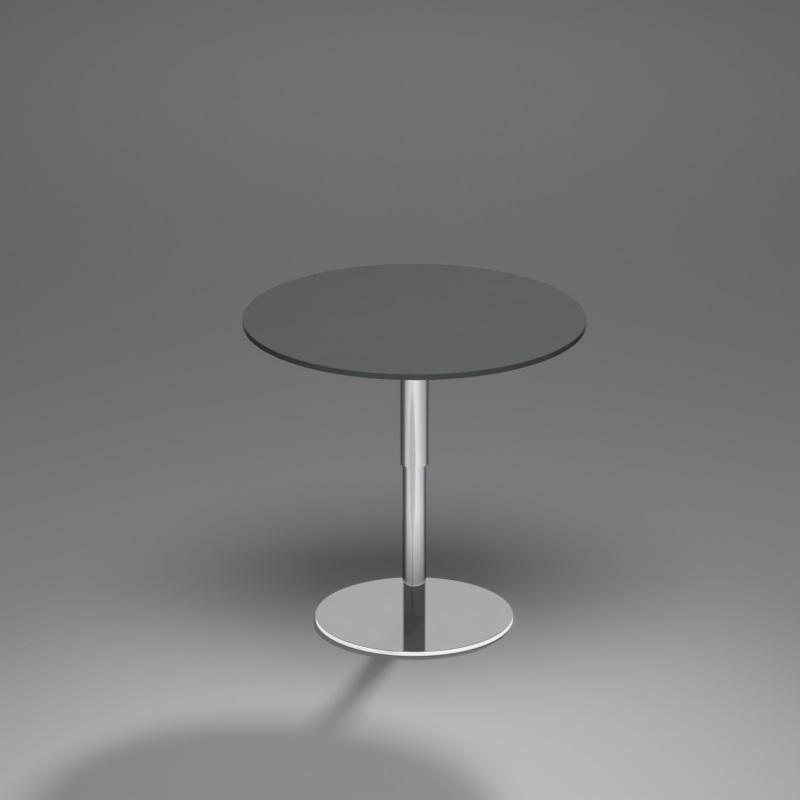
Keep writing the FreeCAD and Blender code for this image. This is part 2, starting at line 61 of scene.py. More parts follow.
# Points nearer than this become one point
WELD = 2e-6
# How far a cutter stands proud of the face that it cuts
CUT_MARGIN = 0.001
# Edges that bend more than the first stay hard, faces that bend less than the second become one
SHARP_ANGLE = math.radians(35)
FLAT_ANGLE = math.radians(1)
# Steps of an outline's rounded corner, and how far beside it the straight gets a point, as a share
# of its radius
ARC_STEPS = 8
BESIDE_SHARE = 1 / 3
# Steps and profile of a copied solid's rounded edge
EDGE_STEPS = 3
ROUND_PROFILE = 0.5
# Sides of a screw and of the hole for its head
SCREW_SIDES = 48
# Where a noise mostly lies, how fine it is, and its scale along drawn metal
NOISE_SPAN = (0.3, 0.7)
NOISE_DETAIL = 3.0
DRAWN_SCALE = 0.01
# Degrees that one face of a floor card spans
CARD_STEP = 1.5
# Distances from the column's axis, each with the share that a floor card has of its grey there
FAN = ((0.67, 1.0), (14.0, 1.0))
# The lower share at 0.25 m is painted shadow: it darkens the cards near the column, as the table's
# shadow darkens the floor there
PALE_RINGS = ((0.25, 0.45), *FAN)
DARK_RINGS = ((0.25, 0.65), *FAN)
# The rim rings lie round the plate's foot for the glowing ring, whose glow is a painted highlight on
# the plate's rim
RIM_RINGS = ((0.206, 1.0), (0.235, 1.0))


class Body(Enum):
    """The bodies that new pieces ride on."""

    BASE = "base"
    TOP = "top"
    LEVER = "lever"


class Grain(Enum):
    """Which way the fine texture of a finish runs."""

    EVEN = "even"
    TURNED = "turned"
    DRAWN = "drawn"


@dataclass(frozen=True)
class Number:
    """A number inside a node tree, so that a rule reads as a sum.

    Attributes:
        wiring: The tree that holds it.
        socket: The socket that gives it.
    """

    wiring: "Wiring"
    socket: NodeSocket

    def __add__(self, other: "Number | float") -> "Number":
        """This number plus another."""
        return self.wiring.sum("ADD", self, other)

    def __sub__(self, other: "Number | float") -> "Number":
        """This number less another."""
        return self.wiring.sum("SUBTRACT", self, other)

    def __rsub__(self, other: float) -> "Number":
        """A plain number less this one."""
        return self.wiring.sum("SUBTRACT", other, self)

    def __mul__(self, other: "Number | float") -> "Number":
        """This number times another."""
        return self.wiring.sum("MULTIPLY", self, other)

    def __truediv__(self, other: "Number | float") -> "Number":
        """This number divided by another."""
        return self.wiring.sum("DIVIDE", self, other)

    def __rtruediv__(self, other: float) -> "Number":
        """A plain number divided by this one."""
        return self.wiring.sum("DIVIDE", other, self)

    def __pow__(self, other: "Number | float") -> "Number":
        """This number to a power."""
        return self.wiring.sum("POWER", self, other)

    def __abs__(self) -> "Number":
        """This number without its sign."""
        return self.wiring.sum("ABSOLUTE", self)

    def least(self, other: "Number | float") -> "Number":
        """The smaller of this number and another."""
        return self.wiring.sum("MINIMUM", self, other)

    def most(self, other: "Number | float") -> "Number":
        """The larger of this number and another."""
        return self.wiring.sum("MAXIMUM", self, other)

    def cosine(self) -> "Number":
        """The cosine of this number."""
        return self.wiring.sum("COSINE", self)

    def sine(self) -> "Number":
        """The sine of this number."""
        return self.wiring.sum("SINE", self)

    def root(self) -> "Number":
        """The square root of this number."""
        return self.wiring.sum("SQRT", self)

    def whole(self) -> "Number":
        """The nearest whole number."""
        return self.wiring.sum("ROUND", self)


Given = NodeSocket | Number | float | int | tuple
Inputs = dict[str | int, Given]


class Wiring:
    """A node tree in the making, with short ways to add nodes and sums."""

    def __init__(self, group: NodeTree) -> None:
        """Takes up a node tree."""
        self.group = group

    def feed(self, socket: NodeSocket, given: Given) -> None:
        """Sets a socket, or links what is given to it.

        Args:
            socket: The input socket.
            given: A socket, a number in the tree or a plain value.
        """
        source = given.socket if isinstance(given, Number) else given
        if isinstance(source, NodeSocket):
            self.group.links.new(source, socket)
        else:
            socket.default_value = source

    def give(self, node: Node, inputs: Inputs) -> None:
        """Feeds what is given, by name or number, to the inputs of a node."""
        for key, given in inputs.items():
            self.feed(node.inputs[key], given)

    def node(self, kind: str, inputs: Inputs | None = None, **settings: str) -> Node:
        """Adds a node.

        Args:
            kind: Type of the node.
            inputs: What its inputs are given.
            **settings: Its options.

        Returns:
            The node.
        """
        node = self.group.nodes.new(kind)
        for option, choice in settings.items():
            setattr(node, option, choice)
        self.give(node, inputs or {})
        return node

    def sum(self, operation: str, *terms: Number | float) -> Number:
        """Adds a Math node for an operation on some terms, and gives its result."""
        node = self.node("ShaderNodeMath", dict(enumerate(terms)), operation=operation)
        return Number(self, node.outputs[0])

    def number(self, kind: str, output: str) -> Number:
        """Adds a node and gives one of its outputs as a number."""
        return Number(self, self.node(kind).outputs[output])

    def point(self, x: Given, y: Given, z: Given) -> NodeSocket:
        """Joins three numbers to a vector."""
        return self.node("ShaderNodeCombineXYZ", {"X": x, "Y": y, "Z": z}).outputs["Vector"]

    def spread(self, value: Given, span: Pair, ends: Pair, way: str = "LINEAR") -> NodeSocket:
        """Carries a number over from one range to another.

        Args:
            value: The number.
            span: Start and end of its range.
            ends: What it becomes there.
            way: How it goes from one end to the other.

        Returns:
            The new number.
        """
        limits = dict(zip(("From Min", "From Max", "To Min", "To Max"), (*span, *ends)))
        inputs = {"Value": value, **limits}
        return self.node("ShaderNodeMapRange", inputs, interpolation_type=way).outputs["Result"]


def new_material(name: str) -> tuple[Material, Wiring, Node]:
    """Starts a material.

    Args:
        name: Its name.

    Returns:
        The material, its wiring and its shader.
    """
    material = bpy.data.materials.new(name)
    material.use_nodes = True
    tree = material.node_tree
    return material, Wiring(tree), tree.nodes["Principled BSDF"]


def linked(name: str, data: ID) -> Object:
    """Makes an object of some data and links it to the scene.

    Args:
        name: Name of the object.
        data: Its mesh, light or camera.

    Returns:
        The object.
    """
    made = bpy.data.objects.new(name, data)
    bpy.context.scene.collection.objects.link(made)
    return made


@dataclass(frozen=True)
class Finish:
    """A surface finish with faint patches and a fine grain.

    Attributes:
        name: Name of the material.
        slot: Material slot of the record; not used.
        colour: Middle colour, linear.
        metallic: How far the surface is bare metal.
        roughness: Middle roughness.
        roughness_spread: How far the patches change the roughness each way.
        shade_spread: How far the patches change the colour each way, as a share of it.
        patch: Size of a patch.
        grain_size: Width of a grain.
        grain_depth: Height of a grain.
        grain: Which way the grain runs.
        shine: How strongly the surface mirrors, with 0.5 for plain varnish.
    """

    name: str
    slot: str
    colour: Triple
    metallic: float
    roughness: float
    roughness_spread: float
    shade_spread: float
    patch: float
    grain_size: float
    grain_depth: float
    grain: Grain = Grain.EVEN
    shine: float = 0.5

    def material(self) -> Material:
        """Finds the material of this finish, or makes it on first use."""
        return bpy.data.materials.get(self.name) or self._made()

    def _made(self) -> Material:
        """Makes the material.

        Returns:
            The new material.
        """
        material, wiring, shader = new_material(self.name)
        place = wiring.node("ShaderNodeTexCoord").outputs["Object"]
        patches = self._noise(wiring, place, self.patch)
        rough, spread = self.roughness, self.roughness_spread
        grains = self._noise(wiring, self._grain_place(wiring, place), self.grain_size)
        bump = wiring.node("ShaderNodeBump", {"Distance": self.grain_depth, "Height": grains})
        surface = {
            "Base Color": self._shade(wiring, patches),
            "Metallic": self.metallic,
            "Roughness": wiring.spread(patches, NOISE_SPAN, (rough - spread, rough + spread)),
            "Specular IOR Level": self.shine,
            "Normal": bump.outputs["Normal"],
        }
        wiring.give(shader, surface)
        return material

    @staticmethod
    def _noise(wiring: Wiring, place: NodeSocket, size: float) -> NodeSocket:
        """Adds a noise that is read at a place and whose spots have a given size."""
        inputs = {"Vector": place, "Scale": 1 / size, "Detail": NOISE_DETAIL}
        return wiring.node("ShaderNodeTexNoise", inputs).outputs[0]

    def _shade(self, wiring: Wiring, patches: NodeSocket) -> NodeSocket:
        """Turns the patches into darker and lighter shades of the colour.

        Args:
            wiring: Node tree of the material.
            patches: The noise of the patches.

        Returns:
            The colour.
        """
        ramp = wiring.node("ShaderNodeValToRGB", {"Fac": patches})
        for stop, place, change in zip(ramp.color_ramp.elements, NOISE_SPAN, (-1, 1)):
            stop.position = place
            stop.color = (*(part * (1 + change * self.shade_spread) for part in self.colour), 1.0)
        return ramp.outputs["Color"]

    def _grain_place(self, wiring: Wiring, place: NodeSocket) -> NodeSocket:
        """Stretches the coordinates along the grain.

        Args:
            wiring: Node tree of the material.
            place: Object coordinates.

        Returns:
            The coordinates that the grain is read at.
        """
        if self.grain is Grain.EVEN:
            return place
        if self.grain is Grain.DRAWN:
            inputs = {"Vector": place, "Scale": (1.0, 1.0, DRAWN_SCALE)}
            return wiring.node("ShaderNodeMapping", inputs).outputs["Vector"]
        parts = wiring.node("ShaderNodeSeparateXYZ", {"Vector": place}).outputs
        flat = wiring.point(parts["X"], parts["Y"], 0.0)
        distance = wiring.node("ShaderNodeVectorMath", {0: flat}, operation="LENGTH")
        return wiring.point(distance.outputs["Value"], 0.0, parts["Z"])


TOP_LACQUER = Finish(
    "Gloss grey lacquer", "top_lacquer", colour=(0.077, 0.086, 0.084), metallic=0.0,
    roughness=0.07, roughness_spread=0.025, shade_spread=0.04, patch=0.11,
    grain_size=0.006, grain_depth=2e-6, shine=0.12,
)
TUBE_CHROME = Finish(
    "Mirror chrome", "tube_chrome", colour=(0.90, 0.91, 0.92), metallic=1.0,
    roughness=0.012, roughness_spread=0.006, shade_spread=0.015, patch=0.05,
    grain_size=0.004, grain_depth=4e-8, grain=Grain.DRAWN,
)
BASE_POLISH = Finish(
    "Polished steel", "base_polish", colour=(0.86, 0.86, 0.85), metallic=0.90,
    roughness=0.010, roughness_spread=0.005, shade_spread=0.02, patch=0.07,
    grain_size=0.0012, grain_depth=5e-8, grain=Grain.TURNED,
)
BLACK_COAT = Finish(
    "Black powder coat", "black_coat", colour=(0.030, 0.030, 0.031), metallic=0.0,
    roughness=0.45, roughness_spread=0.06, shade_spread=0.10, patch=0.02,
    grain_size=0.0009, grain_depth=3e-5,
)
ZINC_STEEL = Finish(
    "Zinc plated steel", "zinc_steel", colour=(0.62, 0.63, 0.65), metallic=1.0,
    roughness=0.30, roughness_spread=0.07, shade_spread=0.06, patch=0.006,
    grain_size=0.0005, grain_depth=3e-6,
)
BUSH_PLASTIC = Finish(
    "Black guide plastic", "bush_plastic", colour=(0.022, 0.022, 0.023), metallic=0.0,
    roughness=0.42, roughness_spread=0.05, shade_spread=0.08, patch=0.012,
    grain_size=0.0007, grain_depth=4e-6,
)
GLIDE_PLASTIC = Finish(
    "Black glide plastic", "glide_plastic", colour=(0.020, 0.020, 0.021), metallic=0.0,
    roughness=0.55, roughness_spread=0.06, shade_spread=0.08, patch=0.010,
    grain_size=0.0006, grain_depth=8e-6,
)
GRIP_PLASTIC = Finish(
    "Soft black grip plastic", "grip_plastic", colour=(0.022, 0.022, 0.023), metallic=0.0,
    roughness=0.55, roughness_spread=0.06, shade_spread=0.10, patch=0.012,
    grain_size=0.0005, grain_depth=1.5e-5,
)
SEAL_RUBBER = Finish(
    "Black rubber", "seal_rubber", colour=(0.014, 0.014, 0.014), metallic=0.0,
    roughness=0.70, roughness_spread=0.06, shade_spread=0.10, patch=0.010,
    grain_size=0.0006, grain_depth=1e-5,
)
TURNED_ALUMINIUM = Finish(
    "Turned aluminium", "turned_aluminium", colour=(0.76, 0.77, 0.78), metallic=1.0,
    roughness=0.28, roughness_spread=0.05, shade_spread=0.04, patch=0.010,
    grain_size=0.0003, grain_depth=4e-6, grain=Grain.TURNED,
)
CYLINDER_PAINT = Finish(
    "Black cylinder paint", "cylinder_paint", colour=(0.018, 0.018, 0.019), metallic=0.0,
    roughness=0.28, roughness_spread=0.05, shade_spread=0.08, patch=0.020,
    grain_size=0.002, grain_depth=6e-6,
)
TURNED_BRASS = Finish(
    "Turned brass", "turned_brass", colour=(0.76, 0.55, 0.24), metallic=1.0,
    roughness=0.26, roughness_spread=0.05, shade_spread=0.05, patch=0.008,
    grain_size=0.0003, grain_depth=4e-6, grain=Grain.TURNED,
)


class Tree(Wiring):
    """A Geometry Nodes tree in the making."""

    def __init__(self, name: str) -> None:
        """Starts a tree with one geometry going in and one coming out.

        Args:
            name: Name of the tree.
        """
        super().__init__(bpy.data.node_groups.new(name, "GeometryNodeTree"))
        for way in ("INPUT", "OUTPUT"):
            self.group.interface.new_socket("Geometry", in_out=way, socket_type="NodeSocketGeometry")
        self.entry = self.node("NodeGroupInput")
        self.exit = self.node("NodeGroupOutput")

    @property
    def entering(self) -> NodeSocket:
        """The geometry that goes in."""
        return self.entry.outputs["Geometry"]

    def size(self, name: str, kind: str = "Float") -> Number:
        """Adds a named input for a size, or for a count of kind Int."""
        self.group.interface.new_socket(name, in_out="INPUT", socket_type=f"NodeSocket{kind}")
        return Number(self, self.entry.outputs[name])

    def sizes(self, *names: str) -> list[Number]:
        """Adds named inputs for several sizes."""
        return [self.size(name) for name in names]

    def sheet(self, across: Given, along: Given) -> tuple[NodeSocket, Number, Number]:
        """Adds a flat grid that is then bent into a form.

        Args:
            across: Points in the first direction.
            along: Points in the second direction.

        Returns:
            The grid, and how far a point lies along each direction, from 0 to 1.
        """
        sizes = {"Size X": 1.0, "Size Y": 1.0, "Vertices X": across, "Vertices Y": along}
        grid = self.node("GeometryNodeMeshGrid", sizes)
        place = self.node("GeometryNodeInputPosition").outputs["Position"]
        parts = self.node("ShaderNodeSeparateXYZ", {"Vector": place}).outputs
        first, second = [Number(self, parts[axis]) + 0.5 for axis in ("X", "Y")]
        return grid.outputs["Mesh"], first, second

    def bend(self, grid: NodeSocket, places: NodeSocket) -> NodeSocket:
        """Moves a grid's points to their places and closes its seams.

        Args:
            grid: The grid.
            places: Where its points go.

        Returns:
            The closed form.
        """
        moved = self.node("GeometryNodeSetPosition", {"Geometry": grid, "Position": places})
        closing = {"Geometry": moved.outputs["Geometry"], "Distance": WELD}
        return self.node("GeometryNodeMergeByDistance", closing).outputs["Geometry"]

    def cut(self, form: NodeSocket, cutter: NodeSocket) -> NodeSocket:
        """Cuts one form out of another.

        Args:
            form: The form that stays.
            cutter: The form that is taken away.

        Returns:
            What is left.
        """
        meshes = {"Mesh 1": form, "Mesh 2": cutter}
        node = self.node("GeometryNodeMeshBoolean", meshes, operation="DIFFERENCE", solver="EXACT")
        return node.outputs["Mesh"]

    def moved(self, form: NodeSocket, place: NodeSocket, turn: Given = (0.0, 0.0, 0.0)) -> NodeSocket:
        """Moves a form and turns it about each axis."""
        inputs = {"Geometry": form, "Translation": place, "Rotation": turn}
        return self.node("GeometryNodeTransform", inputs).outputs["Geometry"]

    def copies(self, form: NodeSocket, points: NodeSocket) -> NodeSocket:
        """Puts a copy of a form on each point."""
        inputs = {"Points": points, "Instance": form}
        return self.node("GeometryNodeInstanceOnPoints", inputs).outputs["Instances"]

    def real(self, form: NodeSocket) -> NodeSocket:
        """Makes copies real geometry."""
        return self.node("GeometryNodeRealizeInstances", {"Geometry": form}).outputs["Geometry"]

    def close(self, form: NodeSocket) -> NodeTree:
        """Ends the tree with real geometry and a material.

        Args:
            form: The last form.

        Returns:
            The tree.
        """
        self.group.interface.new_socket("Finish", in_out="INPUT", socket_type="NodeSocketMaterial")
        inputs = {"Geometry": self.real(form), "Material": self.entry.outputs["Finish"]}
        painted = self.node("GeometryNodeSetMaterial", inputs)
        self.give(self.exit, {"Geometry": painted.outputs["Geometry"]})
        return self.group


def turned_tree() -> NodeTree:
    """Tree that turns an outline about the column's axis.

    Returns:
        The tree, which takes the outline's points as its geometry.
    """
    tree = Tree("Turned form")
    sides = tree.size("Sides", "Int")
    points = tree.size("Outline Points", "Int")
    grid, round_way, along = tree.sheet(sides + 1, points)
    place = tree.node("GeometryNodeInputPosition").outputs["Position"]
    row = (along * (points - 1)).whole()
    reading = {"Geometry": tree.entering, "Value": place, "Index": row}
    outline_point = tree.node("GeometryNodeSampleIndex", reading, data_type="FLOAT_VECTOR")
    turning = {"Vector": outline_point.outputs["Value"], "Angle": round_way * math.tau}
    turned_point = tree.node("ShaderNodeVectorRotate", turning, rotation_type="Z_AXIS")
    return tree.close(tree.bend(grid, turned_point.outputs["Vector"]))


def slot_tree() -> NodeTree:
    """Tree that cuts a slot into the +X side of a tube's head.

    Returns:
        The tree.
    """
    tree = Tree("Slotted head")
    width, reach, sill, top = tree.sizes("Slot Width", "Slot Reach", "Slot Sill", "Slot Top")
    cube = tree.node("GeometryNodeMeshCube", {"Size": tree.point(reach, width, top - sill)})
    place = tree.point(reach / 2, 0.0, (sill + top) / 2)
    cutter = tree.moved(cube.outputs["Mesh"], place)
    return tree.close(tree.cut(tree.entering, cutter))


def socket_tree() -> NodeTree:
    """Tree that cuts a hexagon socket into the lower end of a screw.

    Returns:
        The tree.
    """
    tree = Tree("Hexagon socket")
    flats, depth, face = tree.sizes("Across Flats", "Depth", "Face Height")
    sizes = {"Vertices": 6, "Radius": flats / math.sqrt(3), "Depth": depth * 2}
    prism = tree.node("GeometryNodeMeshCylinder", sizes)
    cutter = tree.moved(prism.outputs["Mesh"], tree.point(0.0, 0.0, face))
    return tree.close(tree.cut(tree.entering, cutter))


def countersink_tree() -> NodeTree:
    """Tree that sinks a ring of conical holes into the underside of a plate.

    Returns:
        The tree.
    """
    tree = Tree("Countersunk holes")
    count = tree.size("Count", "Int")
    ring, rim, shank, face = tree.sizes("Ring Radius", "Rim Radius", "Shank Radius", "Face Height")
    foot = rim + CUT_MARGIN
    sizes = {"Vertices": SCREW_SIDES, "Radius Top": shank, "Radius Bottom": foot, "Depth": foot - shank}
    cone = tree.node("GeometryNodeMeshCone", sizes)
    circle = tree.node("GeometryNodeMeshCircle", {"Vertices": count, "Radius": ring})
    points = tree.moved(circle.outputs["Mesh"], tree.point(0.0, 0.0, face - CUT_MARGIN))
    cones = tree.copies(cone.outputs["Mesh"], points)
    return tree.close(tree.cut(tree.entering, tree.real(cones)))


def ring_tree() -> NodeTree:
    """Tree that repeats a form on a ring about the column's axis.

    Returns:
        The tree.
    """
    tree = Tree("Ring of copies")
    count = tree.size("Count", "Int")
    ring, first = tree.sizes("Ring Radius", "First Angle")
    circle = tree.node("GeometryNodeMeshCircle", {"Vertices": count, "Radius": ring})
    still = tree.point(0.0, 0.0, 0.0)
    points = tree.moved(circle.outputs["Mesh"], still, tree.point(0.0, 0.0, first))
    return tree.close(tree.copies(tree.entering, points))


def rows_tree() -> NodeTree:
    """Tree that repeats a form at the corners of a rectangle.

    Returns:
        The tree.
    """
    tree = Tree("Corner copies")
    length, width, middle = tree.sizes("Length", "Width", "Middle X")
    sizes = {"Size X": length, "Size Y": width, "Vertices X": 2, "Vertices Y": 2}
    grid = tree.node("GeometryNodeMeshGrid", sizes)
    points = tree.moved(grid.outputs["Mesh"], tree.point(middle, 0.0, 0.0))
    return tree.close(tree.copies(tree.entering, points))


def grip_tree() -> NodeTree:
    """Tree that grows a ribbed grip along X from the widths and heights of three sections.

    Returns:
        The tree.
    """
    tree = Tree("Ribbed grip")
    sides, rows = tree.size("Sides", "Int"), tree.size("Rows", "Int")
    start, length, level, belly = tree.sizes("Start X", "Length", "Level", "Belly Share")
    neck_width, belly_width, tip_width = tree.sizes("Neck Width", "Belly Width", "Tip Width")
    neck_height, belly_height, tip_height = tree.sizes("Neck Height", "Belly Height", "Tip Height")
    squareness, end_radius = tree.sizes("Squareness", "End Radius")
    ribs, rib_depth = tree.sizes("Ribs", "Rib Depth")
    rib_start, rib_end = tree.sizes("Rib Start Share", "Rib End Share")

    grid, round_way, along = tree.sheet(sides + 1, rows)
    row = along * (rows - 1)
    open_row = row.least(1.0) * (rows - 1 - row).least(1.0)
    even = ((row - 1.0) / (rows - 3)).most(0.0).least(1.0)
    share = 0.5 - (even * math.pi).cosine() * 0.5

    at_neck = (share - belly) * (share - 1.0) / belly
    at_belly = share * (share - 1.0) / (belly * (belly - 1.0))
    at_tip = share * (share - belly) / (1.0 - belly)
    half_width = (at_neck * neck_width + at_belly * belly_width + at_tip * tip_width) / 2
    half_height = (at_neck * neck_height + at_belly * belly_height + at_tip * tip_height) / 2

    to_end = (share.least(1.0 - share) * length).least(end_radius)
    inside = end_radius - to_end
    inset = end_radius - (end_radius ** 2.0 - inside ** 2.0).most(0.0).root()
    angle = round_way * math.tau
    in_ribs = ((share - rib_start) / (rib_end - rib_start)).most(0.0).least(1.0)
    groove = 0.5 - (in_ribs * ribs * math.tau).cosine() * 0.5
    sunk = groove * rib_depth * abs(angle.sine()) ** 2.0

    across = abs(angle.cosine()) / (half_width - inset)
    upward = abs(angle.sine()) / (half_height - inset)
    reach = (across ** squareness + upward ** squareness) ** (-1.0 / squareness)
    reach = (reach - sunk) * open_row
    place = tree.point(start + share * length, reach * angle.cosine(), level + reach * angle.sine())
    return tree.close(tree.bend(grid, place))


def grown(name: str, start: Mesh, tree: NodeTree, finish: Finish, **sizes: float) -> Mesh:
    """Runs a tree on a mesh and keeps the result as a plain mesh.

    Args:
        name: Name of the result.
        start: The mesh that goes in.
        tree: The tree.
        finish: The finish of the result.
        **sizes: The tree's named inputs, with underscores for spaces.

    Returns:
        The plain mesh, with its faces outwards.
    """
    seed = linked(f"{name}.seed", start)
    modifier = seed.modifiers.new("shape", "NODES")
    modifier.node_group = tree
    given = {word.replace("_", " "): size for word, size in sizes.items()}
    given["Finish"] = finish.material()
    for item in tree.interface.items_tree:
        if item.in_out == "INPUT" and item.name in given:
            modifier[item.identifier] = given[item.name]
    depsgraph = bpy.context.evaluated_depsgraph_get()
    mesh = bpy.data.meshes.new_from_object(seed.evaluated_get(depsgraph))
    bpy.data.objects.remove(seed)
    bpy.data.meshes.remove(start)
    mesh.name = name
    return tidied(mesh)


def tidied(mesh: Mesh) -> Mesh:
    """Closes a mesh's seams, turns its faces outwards and shades it smooth between hard edges.

    Args:
        mesh: The mesh, which is changed.

    Returns:
        The same mesh.
    """
    form = bmesh.new()
    form.from_mesh(mesh)
    bmesh.ops.remove_doubles(form, verts=form.verts, dist=WELD)
    bmesh.ops.recalc_face_normals(form, faces=form.faces)
    form.to_mesh(mesh)
    form.free()
    mesh.shade_smooth()
    mesh.set_sharp_from_angle(angle=SHARP_ANGLE)
    return mesh


def softened(name: str, node: str, width: float) -> Mesh:
    """Copies a solid's mesh and rounds its hard edges.

    Args:
        name: Name of the copy.
        node: Name of the solid.
        width: Width of the rounding.

    Returns:
        The rounded copy.
    """
    form = bmesh.new()
    form.from_mesh(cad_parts[node].data)
    bmesh.ops.remove_doubles(form, verts=form.verts, dist=WELD)
    bmesh.ops.dissolve_limit(form, angle_limit=FLAT_ANGLE, verts=form.verts, edges=form.edges)
    hard = [edge for edge in form.edges if edge.is_manifold and edge.calc_face_angle() > SHARP_ANGLE]
    rounding = {"offset": width, "segments": EDGE_STEPS, "profile": ROUND_PROFILE}
    bmesh.ops.bevel(form, geom=hard, affect="EDGES", clamp_overlap=True, **rounding)
    mesh = bpy.data.meshes.new(name)
    form.to_mesh(mesh)
    form.free()
    return tidied(mesh)


@dataclass(frozen=True)
class Corner:
    """A corner of a turned outline.

    Attributes:
        out: Distance from the axis.
        up: Height.
        rounding: Radius that rounds the corner.
    """

    out: float
    up: float
    rounding: float = 0.0

    def spot(self) -> Vector:
        """The corner as a point."""
        return Vector((self.out, self.up))


def outline(corners: Sequence[Corner]) -> list[Vector]:
    """Points along an outline, with arcs at its rounded corners.

    A point on the straight beside each arc keeps the shading of flat faces true.

    Args:
        corners: The corners, in order.

    Returns:
        The points.
    """
    points: list[Vector] = []
    for index, corner in enumerate(corners):
        here = corner.spot()
        if corner.rounding == 0.0:
            points.append(here)
            continue
        back = (corners[index - 1].spot() - here).normalized()
        onward = (corners[(index + 1) % len(corners)].spot() - here).normalized()
        half_angle = back.angle(onward) / 2
        tangent = corner.rounding / math.tan(half_angle)
        centre = here + (back + onward).normalized() * corner.rounding / math.sin(half_angle)
        first = (here + back * tangent - centre).normalized()
        last = (here + onward * tangent - centre).normalized()
        shares = [step / ARC_STEPS for step in range(ARC_STEPS + 1)]
        arc = [centre + first.slerp(last, share) * corner.rounding for share in shares]
        beside = corner.rounding * BESIDE_SHARE
        points.extend([arc[0] + back * beside, *arc, arc[-1] + onward * beside])
    return points


def stud(heights: Triple, radii: Pair, rounding: float) -> list[Corner]:
    """Corners of a form that stands on its wide end, such as a glide or a round-headed screw.

    Args:
        heights: Height of its lower end, of the step to its narrow part and of its upper end.
        radii: Radius of its wide part and of its narrow part.
        rounding: Rounding of its lower edge.

    Returns:
        The corners of its outline, from the middle of its lower end.
    """
    low, step, high = heights
    wide, narrow = radii
    return [
        Corner(0.0, low),
        Corner(wide, low, rounding),
        Corner(wide, step),
        Corner(narrow, step),
        Corner(narrow, high),
        Corner(0.0, high),
    ]


@dataclass(frozen=True)
class Screw:
    """Sizes of a socket screw.

    Attributes:
        shank: Radius of its shank.
        rim: Radius of its head.
        flats: Width of its socket across the flats.
        crown: Rounding of its head.
    """

    shank: float
    rim: float
    flats: float
    crown: float = 0.0

    def round_headed(self, low: float, seat: float, high: float) -> list[Corner]:
        """Corners of a round-headed screw, from its face over its seat to its end."""
        return stud((low, seat, high), (self.rim, self.shank), self.crown)


class Shop:
    """The trees that shape the pieces, and the ways to use them."""

    def __init__(self) -> None:
        """Builds the trees."""
        self.turning = turned_tree()
        self.slotting = slot_tree()
        self.socketing = socket_tree()
        self.sinking = countersink_tree()
        self.ringing = ring_tree()
        self.cornering = rows_tree()
        self.gripping = grip_tree()

    def turned(self, name: str, corners: Sequence[Corner], sides: int, finish: Finish) -> Mesh:
        """Turns an outline about the column's axis.

        An outline that starts and ends on the axis gives a full form, and any other a ring.

        Args:
            name: Name of the mesh.
            corners: Corners of the outline, in order.
            sides: Sides of the turned form.
            finish: Its finish.

        Returns:
            The turned mesh.
        """
        points = outline(corners)
        if corners[0].out > 0.0:
            points.append(points[0])
        start = bpy.data.meshes.new(f"{name}.outline")
        start.from_pydata([(point.x, 0.0, point.y) for point in points], [], [])
        return grown(name, start, self.turning, finish, Sides=sides, Outline_Points=len(points))

    def screw(self, name: str, corners: Sequence[Corner], flats: float, depth: float) -> Mesh:
        """Turns a zinc plated screw with its head down and cuts its hexagon socket.

        Args:
            name: Name of the mesh.
            corners: Corners of the outline, from the middle of the head's face.
            flats: Width of the socket across its flats.
            depth: Depth of the socket.

        Returns:
            The screw on the column's axis.
        """
        blank = self.turned(name, corners, SCREW_SIDES, ZINC_STEEL)
        sizes = {"Across_Flats": flats, "Depth": depth, "Face_Height": corners[0].up}
        return grown(name, blank, self.socketing, ZINC_STEEL, **sizes)


@dataclass(frozen=True)
class Round:
    """Radius and heights of a round solid on the column's axis.

    Attributes:
        radius: Its radius.
        low: Its lower end.
        high: Its upper end.
    """

    radius: float
    low: float
    high: float

    @classmethod
    def of(cls, node: str) -> "Round":
        """Reads a solid's radius and heights from the frame."""
        low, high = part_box(node)
        return cls(max(high.x, high.y), low.z, high.z)


@dataclass
class Assembly:
    """A sub-assembly, which shows new pieces and dresses solids.

    Attributes:
        shop: The trees that shape its pieces.
    """

    shop: Shop

    def build(self) -> None:
        """Builds the pieces and dresses the solids."""
        raise NotImplementedError

    @staticmethod
    def show(mesh: Mesh, body: Body, finish: Finish, *nodes: str) -> None:
        """Shows a mesh in the place of solids.

        Args:
            mesh: The mesh, whose name the piece takes.
            body: The body that it rides on.
            finish: Its finish.
            *nodes: The solids that it stands for.
        """
        mesh.materials.clear()
        mesh.materials.append(finish.material())
        piece = linked(mesh.name, mesh)
        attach(piece, body.value)
        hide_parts(*nodes)
        facts = (piece.name, len(mesh.polygons), finish.name, ", ".join(nodes))
        LOG.info("%s: %d faces, %s, for %s", *facts)

    @staticmethod
    def dress(finish: Finish, *nodes: str) -> None:
        """Gives solids that stay their finish.

        Args:
            finish: The finish.
            *nodes: Names of the solids.
        """
        for node in nodes:
            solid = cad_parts[node]
            if not solid.material_slots:
                solid.data.materials.append(None)
            for slot in solid.material_slots:
                slot.material = finish.material()
            LOG.info("%s: solid, %s", node, finish.name)


@dataclass
class TableTop(Assembly):
    """The lacquered board.

    Attributes:
        sides: Sides of the board.
        edge_rounding: Rounding of its two edges.
    """

    sides: int = 360
    edge_rounding: float = 0.0015

    def build(self) -> None:
        """Turns the board and dresses the inserts in it."""
        board = Round.of("table_top")
        corners = [
            Corner(0.0, board.low),
            Corner(board.radius, board.low, self.edge_rounding),
            Corner(board.radius, board.high, self.edge_rounding),
            Corner(0.0, board.high),
        ]
        mesh = self.shop.turned("lacquered_board", corners, self.sides, TOP_LACQUER)
        self.show(mesh, Body.TOP, TOP_LACQUER, "table_top")
        self.dress(TURNED_BRASS, "top_inserts")


